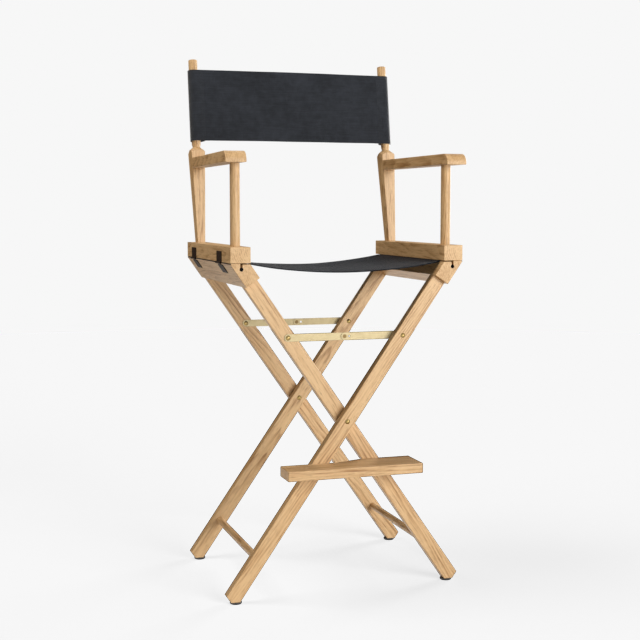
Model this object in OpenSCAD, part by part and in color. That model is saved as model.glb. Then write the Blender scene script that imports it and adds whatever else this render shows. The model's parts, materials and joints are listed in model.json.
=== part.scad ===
// Tall folding director's chair. Two crossed leg frames turn on a pair of bolts. An upright arm is
// hinged on top of each seat rail, cloth is slung between the seat rails and between the back
// posts, and two jointed brass stays lock the frames open. Millimetres, +Z up, front towards -Y,
// origin on the floor in the middle of the chair's box.

/* [Overall] */
// Height of the bolts that the legs cross on
pivot_z = 395.5; // [370:0.5:430]
// Lean of each leg from upright when the chair is open, in degrees
leg_lean = 34.7; // [31:0.1:37]
// Height of the seam between the seat rails and the arm rails
seat_z = 755; // [700:1:800]
// Length of the seat rails and arm rails, front to back
rail_l = 446; // [400:1:500]

/* [Legs] */
// Width of a leg seen from the front
leg_w = 34; // [28:0.5:40]
// Thickness of a leg, front to back
leg_t = 20.8; // [18:0.2:26]
// Space between crossed legs, which the brass stays fold into
leg_gap = 4; // [3.6:0.1:6]
// Rounding of the long edges of the legs
leg_round = 2; // [1:0.5:4]
// Distance from a rail's end to the nearest leg
leg_inset = 13.5; // [8:0.5:24]
// Width of the tenon on top of each leg
tenon_w = 22; // [16:1:26]
// Length of the tenon on top of each leg
tenon_l = 26; // [16:1:28]
// Width of the flat under each leg, measured from its inner edge
foot_flat = 20; // [16:1:30]
// Diameter of the round bars that join the lower legs
stretcher_d = 16; // [12:1:20]
// Height of the round bars' centres
stretcher_z = 95.5; // [70:1:150]
// Depth of the blind holes that the round bars sit in
stretcher_seat = 12; // [8:1:16]

/* [Glides] */
// Diameter of the glide nailed under each leg
glide_d = 26; // [20:1:30]
// Height of a glide
glide_h = 4.2; // [3:0.2:6]
// Distance from the leg's inner lower corner to the glide's centre
glide_inset = 7.7; // [5:0.1:12]
// Diameter of the nail in each glide
nail_d = 2.5; // [2:0.1:3]

/* [Rails] */
// Width of the seat rails and arm rails
rail_w = 45.2; // [40:0.2:54]
// Height of the arm rails
arm_rail_h = 34.8; // [28:0.2:44]
// Length of a seat rail's slanted outer side
seat_rail_side = 62; // [54:1:70]
// Height of the seam between seat rail and arm rail, where the seat cloth comes out
seam = 2.4; // [1.8:0.1:4]
// Width of the bevel that clears the hinges on the seat rail's outer upper edge
step_bevel = 1.2; // [1:0.1:2]
// Distance of the hem groove from the middle of the rail, outwards
groove_offset = -2; // [-4:0.5:2]
// Width of the neck of the hem groove
groove_neck = 4; // [3:0.1:5]
// Diameter of the round bottom of the hem groove
groove_d = 8; // [7:0.2:9]
// Depth of the middle of that round bottom
groove_depth = 11; // [9:0.5:13]

/* [Arms] */
// Height of the underside of an armrest above the seam
armrest_rise = 217; // [190:1:240]
// Thickness of an armrest
armrest_t = 24.7; // [18:0.1:30]
// Width of an armrest at the front
armrest_w = 47.6; // [40:0.2:60]
// Distance from the middle of the rail to the armrest's inner side
armrest_inner = 15.8; // [10:0.2:20]
// Distance from the rails' front end back to the armrest's nose
armrest_setback = 3; // [-10:0.5:20]
// Radius of the armrest's rounded nose
nose_r = 22; // [10:1:24]
// Diameter of the round front post
front_post_d = 22; // [18:1:28]
// Distance from the rails' front end back to the middle of the front post
front_post_y = 47.4; // [30:0.2:80]
// Diameter of the turned tenons at the ends of the posts
post_tenon_d = 14; // [10:1:16]
// Length of those tenons
post_tenon_l = 15; // [10:1:20]

/* [Back] */
// Rake of the back posts from upright, in degrees
rake = 9; // [4:0.5:12]
// Distance from the rails' back end forward to the middle of the back post's foot
back_post_y = 46.2; // [36:0.2:60]
// Width of the back post at its foot
post_foot_w = 18.2; // [16:0.2:24]
// Depth of the back post at its foot
post_foot_d = 29.4; // [24:0.2:34]
// Width of the back post at its shoulder
post_top_w = 33.8; // [30:0.2:40]
// Depth of the back post at its shoulder
post_top_d = 40; // [34:0.2:44]
// Length of the back post from its foot to the top of its pointed shoulder
post_l = 235; // [226:1:260]
// Slope of the pointed shoulder, sideways over down
shoulder_slope = 1.2; // [0.8:0.1:1.6]
// Diameter of the neck above the shoulder
neck_d = 18.8; // [16:0.2:20]
// Diameter of the round upper part that carries the back cloth
dowel_d = 21.8; // [18:0.2:24]
// Length of that round upper part
dowel_l = 218.6; // [190:0.2:260]

/* [Cloth] */
// Thickness of the cloth
cloth_t = 1.2; // [0.8:0.1:1.6]
// Width of the seat cloth, front to back
seat_cloth_l = 404; // [360:1:420]
// How far the middle of the seat cloth hangs down
seat_sag = 20; // [8:1:32]
// Diameter of the rod in each hem of the seat cloth
hem_rod_d = 5; // [3:0.2:6]
// Height of the back cloth along the posts
back_cloth_h = 176; // [140:1:200]
// Distance from the top of the shoulder up to the back cloth
back_cloth_rise = 15.8; // [8:0.2:30]
// Outer radius of the sleeve round each post
sleeve_r = 14.2; // [13:0.1:16]

/* [Footrest] */
// Distance from the crossing bolts down to the top of the footrest
footrest_drop = 91.8; // [70:0.1:130]
// Thickness of the footrest board
footrest_t = 21.9; // [18:0.1:26]
// Length of the footrest, side to side
footrest_w = 314.4; // [280:0.2:360]
// Distance that the footrest reaches in front of the front legs
footrest_reach = 63.5; // [50:0.5:90]
// Distance from frame A's leg to where the board's back edge starts to widen
footrest_step_gap = 12; // [2:0.5:20]
// Distance from where the back edge is at its full depth to the stud
footrest_stud_gap = 26; // [12:1:40]
// Diameter of the shoulder screw and the stud that carry the board
footrest_pin_d = 6; // [5:0.2:8]
// How deep the shoulder screw goes into the board
footrest_pin_reach = 30; // [20:1:40]

/* [Hardware] */
// Diameter of the bolts that the legs cross on
bolt_d = 6; // [5:0.5:8]
// Diameter of the domed screw heads
head_d = 11.5; // [9:0.5:14]
// Height of the domed screw heads
head_h = 3; // [2:0.1:4]
// Diameter of the screws in the stays
stay_screw_d = 4.5; // [4:0.1:5]
// Distance from the seam down each leg to the stay's screw
stay_drop = 205; // [180:1:230]
// Width of a stay
stay_w = 17; // [14:0.5:20]
// Thickness of a stay
stay_t = 1.2; // [1:0.1:1.5]
// Height of the flush rivet heads in the middle of the stays
rivet_h = 0.35; // [0.2:0.05:0.4]
// Side of the square slot punched in a stay beside its rivet
stop_slot = 4.4; // [3:0.2:6]
// Length of each hinge, along the rails
hinge_l = 46; // [36:1:60]
// Height of a hinge leaf
leaf_h = 25; // [20:0.5:30]
// Thickness of a hinge leaf
leaf_t = 1.3; // [1:0.1:2]
// Diameter of the hinge pins
hinge_pin_d = 2.6; // [2:0.1:4]
// Distance from the rails' front end to the middle of the front hinge
hinge_front = 103; // [60:1:140]
// Distance from the rails' back end to the middle of the back hinge
hinge_back = 80; // [60:1:140]
// Diameter of the wood screws
wood_screw_d = 3.6; // [3:0.1:4.5]

/* [Fits] */
// Clearance all round a shaft that turns in a hole
run_fit = 0.08; // [0.02:0.01:0.1]
// Clearance all round a piece that is glued or screwed into another
snug_fit = 0.1; // [0.05:0.05:0.2]
// Space left between flat faces that slide past each other
slide_gap = 0.3; // [0.2:0.05:0.5]

/* [Hidden] */
$fn = 48;

// Colours
oak = "burlywood";
steel = "silver";
brass = "goldenrod";
black = "dimgray";
slate = "darkslategray";

// Places of the legs, front to back: frame A is in front of frame B in both crossings.
y_a_front = -rail_l / 2 + leg_inset;
y_b_front = y_a_front + leg_t + leg_gap;
y_b_back = rail_l / 2 - leg_inset - leg_t;
y_a_back = y_b_back - leg_gap - leg_t;

// Rails, seen from the front. A seat rail's sides lean as its legs do.
rail_x = (seat_z - pivot_z) * tan(leg_lean);
rail_outer_x = rail_x + rail_w / 2;
seat_rail_top = seat_z - seam;
seat_rail_t = rail_w * cos(leg_lean);
// Distance up the leg from the pivot to the underside of the seat rail
rail_foot_u = rail_outer_x * sin(leg_lean) + (seat_rail_top - pivot_z) * cos(leg_lean)
    - seat_rail_side;
groove_x = rail_x + groove_offset;
groove_z = seat_rail_top - groove_depth;

// Feet
leg_x_at_floor = (pivot_z - glide_h) * tan(leg_lean);
foot_inner_x = leg_x_at_floor - leg_w / 2 / cos(leg_lean);
foot_flat_x = foot_inner_x + foot_flat;
glide_x = foot_inner_x + glide_inset;
nail_l = 12;

// Distances up the leg from the pivot
stay_u = (seat_z - pivot_z) / cos(leg_lean) - stay_drop;
stay_half = stay_u * sin(leg_lean);
stretcher_u = (stretcher_z - pivot_z) / cos(leg_lean);
footrest_mid_z = pivot_z - footrest_drop - footrest_t / 2;
footrest_u = (footrest_mid_z - pivot_z) / cos(leg_lean);
footrest_x = -footrest_u * sin(leg_lean);
footrest_step_start = -footrest_x + leg_w / 2 / cos(leg_lean) + footrest_t / 2 * tan(leg_lean)
    + footrest_step_gap;
footrest_step_end = footrest_x - footrest_stud_gap;

// Arms
arm_rail_top = seat_z + arm_rail_h;
armrest_z = seat_z + armrest_rise;
front_post_z = armrest_z - arm_rail_top;
nose_y = -rail_l / 2 + armrest_setback;
post_foot_y = rail_l / 2 - back_post_y;
shoulder_corner = post_l - (norm([post_top_w, post_top_d]) / 2 - neck_d / 2) / shoulder_slope;

// How the footrest's groove must be cut so that the stud can travel in it while the chair folds
fold_angle = 29;
pin_folded_x = footrest_x * cos(fold_angle) - (pivot_z - footrest_mid_z) * sin(fold_angle);
stud_travel = 2 * (footrest_x - pin_folded_x);
groove_r = footrest_pin_d / 2 + slide_gap;
footrest_front_y = y_a_front - footrest_reach;
footrest_stud_tip = y_a_front - 8;

// Hinges
hinge_pin_z = seat_z - seam / 2;
hinge_pin_x = rail_outer_x + hinge_pin_d / 2 + leaf_t;
knuckle_r = hinge_pin_d / 2 + leaf_t;
hinge_ys = [-rail_l / 2 + hinge_front, rail_l / 2 - hinge_back];

// Half of the chair's box, front to back, and the shift that puts its middle on the origin
back_edge_y = post_foot_y + (post_l + dowel_l) * sin(rake) + dowel_d / 2 * cos(rake);
shift_y = -(footrest_front_y + back_edge_y) / 2;

// ---- shapes that repeat -------------------------------------------------------------------

// Puts what was drawn round the middle of the rails into the chair's own frame
module place() {
    translate([0, shift_y, 0]) children();
}

// The left-hand copy of a right-hand piece
module left() {
    mirror([1, 0, 0]) children();
}

// A rectangle with its corners rounded
module rounded_rect(w, h, r) {
    translate([-w / 2 + r, -h / 2]) square([w - 2 * r, h]);
    translate([-w / 2, -h / 2 + r]) square([w, h - 2 * r]);
    for (x = [-1, 1], y = [-1, 1])
        translate([x * (w / 2 - r), y * (h / 2 - r)]) circle(r);
}

// A round bar along Y, from y0 to y1
module y_bar(x, z, d, y0, y1) {
    translate([x, y0, z]) rotate([-90, 0, 0]) cylinder(d = d, h = y1 - y0);
}

// Places something at distance u up a frame-A leg
module on_leg(u) {
    translate([u * sin(leg_lean), 0, pivot_z + u * cos(leg_lean)]) children();
}

// Extrudes a front-view outline along Y, from y0 over length l
module along_y(y0, l) {
    translate([0, y0 + l, 0]) rotate([90, 0, 0]) linear_extrude(l) children();
}

// A domed head on the plane z = 0, with a cross recess
module dome_head(d, h) {
    ball_r = (d * d / 4 + h * h) / (2 * h);
    difference() {
        intersection() {
            translate([0, 0, h - ball_r]) sphere(ball_r, $fn = 64);
            cylinder(d = d, h = h);
        }
        for (a = [0, 90])
            rotate(a) translate([-d * 0.22, -d * 0.05, h * 0.45])
                cube([d * 0.44, d * 0.1, h]);
    }
}

// A screw with a domed head that lies on y = 0 and looks towards -Y, its shank along +Y
module dome_screw(d, shank_l, hd = head_d, hh = head_h) {
    rotate([90, 0, 0]) {
        dome_head(hd, hh);
        translate([0, 0, -shank_l]) cylinder(d = d, h = shank_l + hh * 0.2);
    }
}

// A countersunk wood screw: head flush at z = 0, pointed shank down to -l
module wood_screw(d, l) {
    rotate_extrude()
        polygon([[0, -l], [d / 2, -l + d], [d / 2, -d / 2], [d, 0], [0, 0]]);
}

// The hole that a countersunk wood screw fits
module wood_screw_hole(d, l) {
    c = snug_fit;
    rotate_extrude()
        polygon([[0, -l - c], [d / 2 + c, -l + d - c], [d / 2 + c, -d / 2 - c],
                 [d + c, -c / 2], [d + c, 1], [0, 1]]);
}

// ---- leg frames ---------------------------------------------------------------------------

// A frame-A leg with its tenon and its cut foot, from y = 0 to y = leg_t
module leg_blank() {
    reach = pivot_z / cos(leg_lean) + leg_w;
    intersection() {
        translate([0, leg_t / 2, pivot_z]) rotate([0, leg_lean, 0]) {
            translate([0, 0, -reach])
                linear_extrude(reach + rail_foot_u - slide_gap / 2) rounded_rect(leg_w, leg_t, leg_round);
            linear_extrude(rail_foot_u + tenon_l)
                rounded_rect(tenon_w, leg_t * 0.6, leg_round);
        }
        along_y(-1, leg_t + 2)
            polygon([[rail_outer_x * 2, glide_h], [-foot_flat_x, glide_h],
                     [-foot_flat_x - leg_w * sin(leg_lean), glide_h + leg_w * cos(leg_lean)],
                     [-rail_outer_x * 2, seat_z * 2], [rail_outer_x * 2, seat_z * 2]]);
    }
}

// The leg with its pivot hole, stay hole, stretcher seat and nail hole. inner is 1 if the
// stretcher seat is in its back face and -1 if it is in its front face.
module leg(inner, stay_hole_d) {
    difference() {
        leg_blank();
        on_leg(0) y_bar(0, 0, bolt_d + 2 * run_fit, -1, leg_t + 1);
        on_leg(stay_u) y_bar(0, 0, stay_hole_d, -1, leg_t + 1);
        on_leg(stretcher_u)
            if (inner > 0) y_bar(0, 0, stretcher_d + 2 * snug_fit, leg_t - stretcher_seat, leg_t + 1);
            else y_bar(0, 0, stretcher_d + 2 * snug_fit, -1, stretcher_seat);
        translate([-glide_x, leg_t / 2, glide_h - 1])
            cylinder(d = nail_d + 2 * snug_fit, h = nail_l + 1.5);
    }
}

module leg_a_front() {
    color(oak) place() translate([0, y_a_front, 0]) difference() {
        leg(1, stay_screw_d + 2 * snug_fit);
        on_leg(footrest_u) y_bar(0, 0, footrest_pin_d + 2 * snug_fit, -1, leg_t + 1);
    }
}

module leg_a_back() {
    color(oak) place() translate([0, y_a_back, 0]) leg(-1, stay_screw_d + 2 * snug_fit);
}

module leg_b_front() {
    color(oak) place() left() translate([0, y_b_front, 0]) difference() {
        leg(1, stay_screw_d + 2 * snug_fit);
        on_leg(footrest_u) y_bar(0, 0, footrest_pin_d + 2 * snug_fit, -1, leg_t + 1);
    }
}

module leg_b_back() {
    color(oak) place() left() translate([0, y_b_back, 0]) leg(-1, stay_screw_d + 2 * snug_fit);
}

// The round bar that joins the lower ends of one frame's legs
module stretcher(y_front, y_back) {
    on_leg(stretcher_u)
        y_bar(0, 0, stretcher_d, y_front + leg_t - stretcher_seat + snug_fit,
              y_back + stretcher_seat - snug_fit);
}

module stretcher_a() {
    color(oak) place() stretcher(y_a_front, y_a_back);
}

module stretcher_b() {
    color(oak) place() left() stretcher(y_b_front, y_b_back);
}

// A glide: a flat disc with a domed rim and a hole for its nail
module glide() {
    translate([-glide_x, leg_t / 2, 0]) rotate_extrude()
        polygon(concat(
            [[nail_d / 2 + snug_fit, 0], [glide_d / 2 - glide_h * 0.6, 0]],
            [for (a = [-60:20:0]) [glide_d / 2 - glide_h * 0.5 + glide_h * 0.5 * cos(a),
                                   glide_h * 0.5 + glide_h * 0.5 * sin(a)]],
            [[glide_d / 2, glide_h - 0.6], [glide_d / 2 - 0.6, glide_h],
             [nail_d / 2 + snug_fit, glide_h]]));
}

// The nail that holds a glide, its head sunk level with the middle of the disc
module glide_nail() {
    translate([-glide_x, leg_t / 2, 0.6]) cylinder(d = nail_d, h = nail_l + glide_h - 1.6);
}

module glides_a() {
    color(black) place() for (y = [y_a_front, y_a_back]) translate([0, y, 0]) glide();
}

module glides_b() {
    color(black) place() left() for (y = [y_b_front, y_b_back]) translate([0, y, 0]) glide();
}

module glide_nails_a() {
    color(steel) place() for (y = [y_a_front, y_a_back]) translate([0, y, 0]) glide_nail();
}

module glide_nails_b() {
    color(steel) place() left()
        for (y = [y_b_front, y_b_back]) translate([0, y, 0]) glide_nail();
}

// ---- the bolts that the legs cross on -----------------------------------------------------

nut_h = 5;
bolt_tail = slide_gap + nut_h + 1;

module pivot_bolts() {
    color(brass) place() for (y = [y_a_front, y_a_back])
        translate([0, y - slide_gap, pivot_z])
            dome_screw(bolt_d, slide_gap + 2 * leg_t + leg_gap + bolt_tail);
}

// A washer that keeps the crossed legs apart
module pivot_spacers() {
    color(brass) place() for (y = [y_a_front, y_a_back]) difference() {
        y_bar(0, pivot_z, bolt_d + 12, y + leg_t + slide_gap, y + leg_t + leg_gap - slide_gap);
        y_bar(0, pivot_z, bolt_d + 2 * run_fit, y, y + leg_t + leg_gap + 1);
    }
}

// A hexagon nut with a domed cap
module pivot_nuts() {
    color(brass) place() for (y = [y_b_front, y_b_back])
        translate([0, y + leg_t + slide_gap, pivot_z]) rotate([-90, 0, 0]) difference() {
            union() {
                cylinder(d = bolt_d * 1.85, h = nut_h, $fn = 6);
                translate([0, 0, nut_h - 1]) intersection() {
                    sphere(d = bolt_d * 1.5);
                    cylinder(d = bolt_d * 2, h = bolt_d);
                }
            }
            translate([0, 0, -1]) cylinder(d = bolt_d + 2 * snug_fit, h = bolt_tail - slide_gap + 1.2);
        }
}

// ---- seat rails ---------------------------------------------------------------------------

// Front view of the right seat rail, its sides leaning as the legs do. Outboard of the hem groove
// a raised step carries the arm rail, so that the cloth has room inboard of it.
module seat_rail_outline() {
    down = [-sin(leg_lean), -cos(leg_lean)];
    across = [-cos(leg_lean), sin(leg_lean)];
    top_outer = [rail_outer_x, seat_rail_top];
    bottom_outer = top_outer + seat_rail_side * down;
    step_top = seat_z - 2 * snug_fit;
    difference() {
        polygon([top_outer, bottom_outer, bottom_outer + seat_rail_t * across,
                 [rail_outer_x - rail_w, seat_rail_top], [groove_x, seat_rail_top],
                 [groove_x, step_top], [rail_outer_x - step_bevel, step_top]]);
        translate([groove_x, groove_z]) circle(d = groove_d);
        translate([groove_x - groove_neck / 2, groove_z])
            square([groove_neck, groove_depth + seam]);
    }
}

// The mortise for a leg's tenon
module mortise(y) {
    c = 2 * snug_fit;
    translate([0, y + leg_t / 2, pivot_z]) rotate([0, leg_lean, 0])
        linear_extrude(rail_foot_u + tenon_l + snug_fit)
            rounded_rect(tenon_w + c, leg_t * 0.6 + c, leg_round + snug_fit);
}

module seat_rail(ys) {
    difference() {
        along_y(-rail_l / 2, rail_l) seat_rail_outline();
        for (y = ys) mortise(y);
        hinge_screw_places(leg_lean) wood_screw_hole(wood_screw_d, hinge_screw_l);
    }
}

module seat_rail_right() {
    color(oak) place() seat_rail([y_a_front, y_a_back]);
}

module seat_rail_left() {
    color(oak) place() left() seat_rail([y_b_front, y_b_back]);
}

module hem_rod_right() {
    color(steel) place()
        y_bar(groove_x, groove_z, hem_rod_d, -seat_cloth_l / 2 + 2, seat_cloth_l / 2 - 2);
}

module hem_rod_left() {
    color(steel) place() left()
        y_bar(groove_x, groove_z, hem_rod_d, -seat_cloth_l / 2 + 2, seat_cloth_l / 2 - 2);
}

// The slung seat: a hem round each rod, up the groove's neck, over the rail and down to the middle
module seat_canvas() {
    c = snug_fit;
    hem_r = hem_rod_d / 2 + c + cloth_t;
    lie_z = seat_rail_top + seam / 2;
    edge_x = rail_outer_x - rail_w;
    steps = 24;
    under = [for (i = [-steps:steps])
        let (s = i / steps) [s * edge_x, lie_z - cloth_t / 2 - seat_sag * (1 - s * s)]];
    over = [for (i = [steps:-1:-steps])
        let (s = i / steps) [s * edge_x, lie_z + cloth_t / 2 - seat_sag * (1 - s * s)]];
    color(slate) place() along_y(-seat_cloth_l / 2, seat_cloth_l) {
        polygon(concat(under, over));
        for (m = [0, 1]) mirror([m, 0]) {
            translate([edge_x - 0.01, lie_z - cloth_t / 2])
                square([groove_x + cloth_t - edge_x + 0.01, cloth_t]);
            difference() {
                union() {
                    translate([groove_x, groove_z]) circle(hem_r);
                    translate([groove_x - cloth_t, groove_z]) square([2 * cloth_t, lie_z - groove_z]);
                }
                translate([groove_x, groove_z]) circle(d = hem_rod_d + 2 * c);
            }
        }
    }
}

// ---- arm hinges ---------------------------------------------------------------------------

hinge_screw_l = 14;
screw_spread = 26;
leaf_play = 0.2;
leaf_corner = 2;
screw_from_pin = (leaf_h + knuckle_r + leaf_play) / 2;

// Where a leaf's screws go on the right side. turn is 0 for the upper leaf and the legs' lean for
// the lower one. Each screw's head is at the leaf's outer face and its shank points into the wood.
module hinge_screw_places(turn) {
    for (y = hinge_ys, s = [-1, 1]) leaf_frame(turn) translate([leaf_t, y + s * screw_spread / 2,
        screw_from_pin]) rotate([0, 90, 0]) children();
}

// The frame of a leaf on the right side: its back lies on x = 0 and it reaches up +Z from the pin.
// The lower leaf is the upper one turned over and leaned along the seat rail's side.
module leaf_frame(turn) {
    if (turn == 0)
        translate([rail_outer_x, 0, hinge_pin_z]) children();
    else
        translate([rail_outer_x, 0, seat_rail_top]) rotate([0, turn, 0])
            translate([0, 0, -seam / 2]) mirror([0, 0, 1]) children();
}

// One leaf: a plate with its share of the knuckles. from and to are stretches of the knuckle
// along the hinge, as shares of its length.
module leaf(turn, stretches) {
    for (y = hinge_ys) difference() {
        union() {
            leaf_frame(turn) difference() {
                translate([0, y, (leaf_h + knuckle_r) / 2 + leaf_play]) rotate([90, 0, 90])
                    linear_extrude(leaf_t) rounded_rect(hinge_l, leaf_h - knuckle_r, leaf_corner);
                for (s = [-1, 1]) translate([leaf_t, y + s * screw_spread / 2, screw_from_pin])
                    rotate([0, 90, 0]) wood_screw_hole(wood_screw_d, hinge_screw_l);
            }
            for (s = stretches) {
                y_bar(hinge_pin_x, hinge_pin_z, 2 * knuckle_r,
                      y + s[0] * hinge_l + leaf_play, y + s[1] * hinge_l - leaf_play);
                leaf_frame(turn)
                    translate([0, y + s[0] * hinge_l + leaf_play, 0.4])
                        cube([leaf_t, (s[1] - s[0]) * hinge_l - 2 * leaf_play, knuckle_r + 1]);
            }
        }
        y_bar(hinge_pin_x, hinge_pin_z, hinge_pin_d + 2 * run_fit, y - hinge_l, y + hinge_l);
    }
}

outer_knuckles = [[-0.5, -0.2], [0.2, 0.5]];
middle_knuckle = [[-0.2, 0.2]];

module hinge_upper_leaves_right() { color(brass) place() leaf(0, outer_knuckles); }
module hinge_upper_leaves_left() { color(brass) place() left() leaf(0, outer_knuckles); }
module hinge_lower_leaves_right() { color(brass) place() leaf(leg_lean, middle_knuckle); }
module hinge_lower_leaves_left() { color(brass) place() left() leaf(leg_lean, middle_knuckle); }

module hinge_pins() {
    for (y = hinge_ys)
        y_bar(hinge_pin_x, hinge_pin_z, hinge_pin_d, y - hinge_l / 2, y + hinge_l / 2);
}

module hinge_pins_right() { color(brass) place() hinge_pins(); }
module hinge_pins_left() { color(brass) place() left() hinge_pins(); }

module hinge_screws(turn) {
    hinge_screw_places(turn) difference() {
        wood_screw(wood_screw_d, hinge_screw_l);
        for (a = [0, 90]) rotate(a)
            translate([-wood_screw_d * 0.5, -0.35, -0.8]) cube([wood_screw_d, 0.7, 2]);
    }
}

module hinge_upper_screws_right() { color(brass) place() hinge_screws(0); }
module hinge_upper_screws_left() { color(brass) place() left() hinge_screws(0); }
module hinge_lower_screws_right() { color(brass) place() hinge_screws(leg_lean); }
module hinge_lower_screws_left() { color(brass) place() left() hinge_screws(leg_lean); }

// ---- arms ---------------------------------------------------------------------------------

arm_screw_l = arm_rail_h + 30;

// Frames of the two posts: the front one upright, the back one raked, both from the rail's top
module front_post_frame() {
    translate([rail_x, -rail_l / 2 + front_post_y, arm_rail_top]) children();
}

module back_post_frame() {
    translate([rail_x, post_foot_y, arm_rail_top]) rotate([-rake, 0, 0]) children();
}

// The screws up through the arm rail into the posts, heads sunk in the rail's underside
module arm_screw_places() {
    front_post_frame() translate([0, 0, -arm_rail_h]) mirror([0, 0, 1]) children();
    back_post_frame() translate([0, 0, -arm_rail_h / cos(rake) + wood_screw_d * sin(rake)])
        mirror([0, 0, 1]) children();
}

module arm_rail() {
    difference() {
        translate([rail_x - rail_w / 2, -rail_l / 2, seat_z]) cube([rail_w, rail_l, arm_rail_h]);
        front_post_frame() translate([0, 0, -post_tenon_l - snug_fit])
            cylinder(d = post_tenon_d + 2 * snug_fit, h = post_tenon_l + 2);
        back_post_frame() translate([0, 0, -post_tenon_l - snug_fit])
            cylinder(d = post_tenon_d + 2 * snug_fit, h = post_tenon_l + 6);
        arm_screw_places() wood_screw_hole(wood_screw_d, arm_screw_l);
        hinge_screw_places(0) wood_screw_hole(wood_screw_d, hinge_screw_l);
    }
}

module arm_rail_right() { color(oak) place() arm_rail(); }
module arm_rail_left() { color(oak) place() left() arm_rail(); }

// The round front post, with a turned tenon at each end
module front_post() {
    difference() {
        front_post_frame() {
            cylinder(d = front_post_d, h = front_post_z);
            translate([0, 0, -post_tenon_l])
                cylinder(d = post_tenon_d, h = front_post_z + 2 * post_tenon_l);
        }
        arm_screw_places() wood_screw_hole(wood_screw_d, arm_screw_l);
    }
}

module front_post_right() { color(oak) place() front_post(); }
module front_post_left() { color(oak) place() left() front_post(); }

// Side view outline of the squared part of the back post, tapering down to its foot
module taper_outline(foot, top) {
    grow = (top - foot) / 2 / shoulder_corner;
    polygon([[-foot / 2 + grow * 10, -10], [foot / 2 - grow * 10, -10],
             [foot / 2 + grow * post_l, post_l], [-foot / 2 - grow * post_l, post_l]]);
}

// The back post: squared and tapered, sharpened to a cone at the shoulder, round above it
module back_post() {
    cone_drop = post_top_d;
    chamfer = 1.2;
    difference() {
        union() {
            intersection() {
                back_post_frame() intersection() {
                    translate([0, post_top_d, 0]) rotate([90, 0, 0])
                        linear_extrude(2 * post_top_d) taper_outline(post_foot_w, post_top_w);
                    translate([-post_top_w, 0, 0]) rotate([90, 0, 90])
                        linear_extrude(2 * post_top_w) taper_outline(post_foot_d, post_top_d);
                    rotate_extrude()
                        polygon([[0, -20], [neck_d / 2 + cone_drop * shoulder_slope, -20],
                                 [neck_d / 2 + cone_drop * shoulder_slope, post_l - cone_drop],
                                 [neck_d / 2, post_l], [0, post_l]]);
                }
                translate([0, 0, arm_rail_top]) cube([4 * rail_x, 2 * rail_l, 4 * post_l], center = false);
            }
            back_post_frame() {
                translate([0, 0, -post_tenon_l])
                    cylinder(d = post_tenon_d, h = post_tenon_l + 10);
                rotate_extrude()
                    polygon([[0, post_l - 6], [neck_d / 2 - 0.5, post_l - 6], [neck_d / 2, post_l],
                             [neck_d / 2, post_l + 2], [dowel_d / 2, post_l + 8],
                             [dowel_d / 2, post_l + dowel_l - chamfer],
                             [dowel_d / 2 - chamfer, post_l + dowel_l], [0, post_l + dowel_l]]);
            }
        }
        arm_screw_places() wood_screw_hole(wood_screw_d, arm_screw_l);
        armrest_screw_place() wood_screw_hole(wood_screw_d, armrest_screw_l);
    }
}

module back_post_right() { color(oak) place() back_post(); }
module back_post_left() { color(oak) place() left() back_post(); }

// Depth of the back post and place of its faces at the armrest's height
armrest_mid_z = armrest_z + armrest_t / 2;
post_s = (armrest_mid_z - arm_rail_top) / cos(rake);
post_mid_y = post_foot_y + post_s * sin(rake);
post_grow = (post_top_d - post_foot_d) / 2 / shoulder_corner;
face_lean = rake - atan(post_grow);
post_face_y = post_mid_y - (post_foot_d / 2 + post_grow * post_s) / cos(rake);
post_w_here = post_foot_w + (post_top_w - post_foot_w) * post_s / shoulder_corner;
post_rear_y = post_mid_y + (post_foot_d / 2 + post_grow * post_s) / cos(rake);
armrest_screw_l = 60;

module armrest_screw_place() {
    translate([rail_x, post_rear_y, armrest_mid_z]) rotate([-90, 0, 0]) children();
}

// The armrest: a board with a rounded nose, its outer side drawn in to the back post's width, its
// back end cut to lie on the leaning front face of the post
module armrest() {
    inner = rail_x - armrest_inner;
    outer = inner + armrest_w;
    back_outer = rail_x + post_w_here / 2;
    lean = tan(face_lean) * armrest_t / 2;
    top = armrest_z + armrest_t;
    difference() {
        intersection() {
            translate([0, 0, armrest_z]) linear_extrude(armrest_t)
                polygon([[inner, nose_y], [outer, nose_y], [back_outer, post_face_y],
                         [back_outer, post_face_y + 20], [inner, post_face_y + 20]]);
            // side view: nose at the front, leaning cut at the back
            translate([inner - 1, 0, 0]) rotate([90, 0, 90]) linear_extrude(armrest_w + 2) union() {
                polygon([[nose_y + nose_r, armrest_z], [post_face_y - lean - snug_fit, armrest_z],
                         [post_face_y + lean - snug_fit, top], [nose_y + nose_r, top]]);
                translate([nose_y, armrest_z]) square([nose_r + 0.01, armrest_t - nose_r]);
                intersection() {
                    translate([nose_y + nose_r, top - nose_r]) circle(nose_r, $fn = 96);
                    translate([nose_y, top - nose_r]) square([nose_r + 0.01, nose_r + 1]);
                }
            }
        }
        front_post_frame() cylinder(d = post_tenon_d + 2 * snug_fit,
                                    h = front_post_z + post_tenon_l + snug_fit);
        armrest_screw_place() wood_screw_hole(wood_screw_d, armrest_screw_l);
    }
}

module armrest_right() { color(oak) place() armrest(); }
module armrest_left() { color(oak) place() left() armrest(); }

module arm_screws() {
    arm_screw_places() wood_screw(wood_screw_d, arm_screw_l);
}

module arm_screws_right() { color(steel) place() arm_screws(); }
module arm_screws_left() { color(steel) place() left() arm_screws(); }

module armrest_screw_right() {
    color(brass) place() armrest_screw_place() wood_screw(wood_screw_d, armrest_screw_l);
}

module armrest_screw_left() {
    color(brass) place() left() armrest_screw_place() wood_screw(wood_screw_d, armrest_screw_l);
}

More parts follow.
